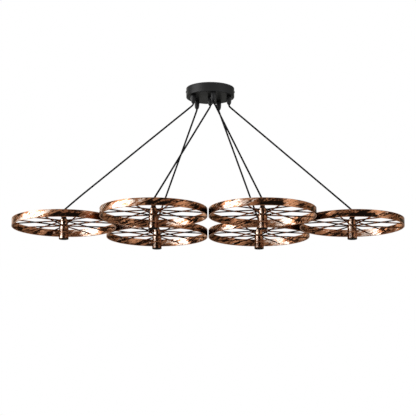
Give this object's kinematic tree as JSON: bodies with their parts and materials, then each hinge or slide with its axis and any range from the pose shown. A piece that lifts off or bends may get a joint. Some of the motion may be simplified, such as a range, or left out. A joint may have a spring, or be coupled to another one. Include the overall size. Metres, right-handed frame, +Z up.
{
  "type": "wagon wheel chandelier",
  "caption": "Ceiling light with level wagon wheels in aged copper, each carried by a downward lampholder on a slanting black cord from one round canopy.",
  "frame": {"origin": "on the ceiling plane, at the centre of the canopy's crossbar", "axes": "+Z up to the ceiling, +X to the right along the row of wheels, -Y towards the viewer"},
  "size_m": [1.2024, 0.643, 0.4781],
  "materials": {
    "canopy_black": "satin black powder coat",
    "zinc_steel": "zinc plated",
    "earth_green": "green passivated",
    "block_nylon": "natural nylon",
    "grip_black": "moulded, fine sheen",
    "cord_black": "matt sheath",
    "core_sleeve": "white sleeve",
    "lampholder_copper": "aged copper with dark patches, lacquered",
    "insert_black": "moulded phenolic",
    "contact_brass": "bright",
    "rust_copper": "aged copper, rubbed along the band, dark patches, lacquered",
    "spoke_copper": "aged copper with dark patches"
  },
  "bodies": {
    "canopy": {"canopy_shell": "canopy_black", "crossbar": "zinc_steel", "canopy_screws": "canopy_black", "earth_screw": "earth_green", "terminal_block": "block_nylon", "terminal_screw": "zinc_steel", "cord_grips": "grip_black", "grip_nuts": "zinc_steel", "cord_tails": "cord_black", "core_wires": "core_sleeve"},
    "left_hanging_cord": {"left_cord": "cord_black"},
    "left_lampholder": {"left_cap": "lampholder_copper", "left_shell": "lampholder_copper", "left_insert": "insert_black", "left_contacts": "contact_brass"},
    "left_wheel": {"left_hub": "rust_copper", "left_spokes": "spoke_copper", "left_rim": "rust_copper"},
    "near_left_hanging_cord": {"near_left_cord": "cord_black"},
    "near_left_lampholder": {"near_left_cap": "lampholder_copper", "near_left_shell": "lampholder_copper", "near_left_insert": "insert_black", "near_left_contacts": "contact_brass"},
    "near_left_wheel": {"near_left_hub": "rust_copper", "near_left_spokes": "spoke_copper", "near_left_rim": "rust_copper"},
    "far_left_hanging_cord": {"far_left_cord": "cord_black"},
    "far_left_lampholder": {"far_left_cap": "lampholder_copper", "far_left_shell": "lampholder_copper", "far_left_insert": "insert_black", "far_left_contacts": "contact_brass"},
    "far_left_wheel": {"far_left_hub": "rust_copper", "far_left_spokes": "spoke_copper", "far_left_rim": "rust_copper"},
    "near_right_hanging_cord": {"near_right_cord": "cord_black"},
    "near_right_lampholder": {"near_right_cap": "lampholder_copper", "near_right_shell": "lampholder_copper", "near_right_insert": "insert_black", "near_right_contacts": "contact_brass"},
    "near_right_wheel": {"near_right_hub": "rust_copper", "near_right_spokes": "spoke_copper", "near_right_rim": "rust_copper"},
    "far_right_hanging_cord": {"far_right_cord": "cord_black"},
    "far_right_lampholder": {"far_right_cap": "lampholder_copper", "far_right_shell": "lampholder_copper", "far_right_insert": "insert_black", "far_right_contacts": "contact_brass"},
    "far_right_wheel": {"far_right_hub": "rust_copper", "far_right_spokes": "spoke_copper", "far_right_rim": "rust_copper"},
    "right_hanging_cord": {"right_cord": "cord_black"},
    "right_lampholder": {"right_cap": "lampholder_copper", "right_shell": "lampholder_copper", "right_insert": "insert_black", "right_contacts": "contact_brass"},
    "right_wheel": {"right_hub": "rust_copper", "right_spokes": "spoke_copper", "right_rim": "rust_copper"}
  },
  "joints": [
    {"name": "left_swing", "type": "hinge", "parent": "canopy", "child": "left_hanging_cord", "pos_m": [-0.05257, -0.02678, -0.054], "axis": [0, 1, 0], "range_deg": [0, 15]},
    {"name": "left_level", "type": "hinge", "parent": "left_hanging_cord", "child": "left_lampholder", "pos_m": [-0.44823, 0, -0.392], "axis": [0, 1, 0], "range_deg": [-15, 0]},
    {"name": "left_turn", "type": "hinge", "parent": "left_lampholder", "child": "left_wheel", "pos_m": [-0.44823, 0, -0.429], "axis": [0, 0, 1], "continuous": true},
    {"name": "near_left_swing", "type": "hinge", "parent": "canopy", "child": "near_left_hanging_cord", "pos_m": [0, 0, -0.054], "axis": [-1, 0, 0], "range_deg": [0, 15]},
    {"name": "near_left_level", "type": "hinge", "parent": "near_left_hanging_cord", "child": "near_left_lampholder", "pos_m": [-0.1685, -0.1615, -0.392], "axis": [-1, 0, 0], "range_deg": [-15, 0]},
    {"name": "near_left_turn", "type": "hinge", "parent": "near_left_lampholder", "child": "near_left_wheel", "pos_m": [-0.1685, -0.1615, -0.429], "axis": [0, 0, 1], "continuous": true},
    {"name": "far_left_swing", "type": "hinge", "parent": "canopy", "child": "far_left_hanging_cord", "pos_m": [-0.04172, 0.04172, -0.054], "axis": [1, 0, 0], "range_deg": [0, 15]},
    {"name": "far_left_level", "type": "hinge", "parent": "far_left_hanging_cord", "child": "far_left_lampholder", "pos_m": [-0.1685, 0.1615, -0.392], "axis": [1, 0, 0], "range_deg": [-15, 0]},
    {"name": "far_left_turn", "type": "hinge", "parent": "far_left_lampholder", "child": "far_left_wheel", "pos_m": [-0.1685, 0.1615, -0.429], "axis": [0, 0, 1], "continuous": true},
    {"name": "near_right_swing", "type": "hinge", "parent": "canopy", "child": "near_right_hanging_cord", "pos_m": [0.00923, -0.05827, -0.054], "axis": [-1, 0, 0], "range_deg": [0, 15]},
    {"name": "near_right_level", "type": "hinge", "parent": "near_right_hanging_cord", "child": "near_right_lampholder", "pos_m": [0.1545, -0.1615, -0.392], "axis": [-1, 0, 0], "range_deg": [-15, 0]},
    {"name": "near_right_turn", "type": "hinge", "parent": "near_right_lampholder", "child": "near_right_wheel", "pos_m": [0.1545, -0.1615, -0.429], "axis": [0, 0, 1], "continuous": true},
    {"name": "far_right_swing", "type": "hinge", "parent": "canopy", "child": "far_right_hanging_cord", "pos_m": [0.02678, 0.05257, -0.054], "axis": [1, 0, 0], "range_deg": [0, 15]},
    {"name": "far_right_level", "type": "hinge", "parent": "far_right_hanging_cord", "child": "far_right_lampholder", "pos_m": [0.1545, 0.1615, -0.392], "axis": [1, 0, 0], "range_deg": [-15, 0]},
    {"name": "far_right_turn", "type": "hinge", "parent": "far_right_lampholder", "child": "far_right_wheel", "pos_m": [0.1545, 0.1615, -0.429], "axis": [0, 0, 1], "continuous": true},
    {"name": "right_swing", "type": "hinge", "parent": "canopy", "child": "right_hanging_cord", "pos_m": [0.05827, -0.00923, -0.054], "axis": [0, -1, 0], "range_deg": [0, 15]},
    {"name": "right_level", "type": "hinge", "parent": "right_hanging_cord", "child": "right_lampholder", "pos_m": [0.43423, 0, -0.392], "axis": [0, -1, 0], "range_deg": [-15, 0]},
    {"name": "right_turn", "type": "hinge", "parent": "right_lampholder", "child": "right_wheel", "pos_m": [0.43423, 0, -0.429], "axis": [0, 0, 1], "continuous": true}
  ],
  "couplings": [
    {"joint": "left_level", "follows": "left_swing", "ratio": -1},
    {"joint": "near_left_level", "follows": "near_left_swing", "ratio": -1},
    {"joint": "far_left_level", "follows": "far_left_swing", "ratio": -1},
    {"joint": "near_right_level", "follows": "near_right_swing", "ratio": -1},
    {"joint": "far_right_level", "follows": "far_right_swing", "ratio": -1},
    {"joint": "right_level", "follows": "right_swing", "ratio": -1}
  ]
}
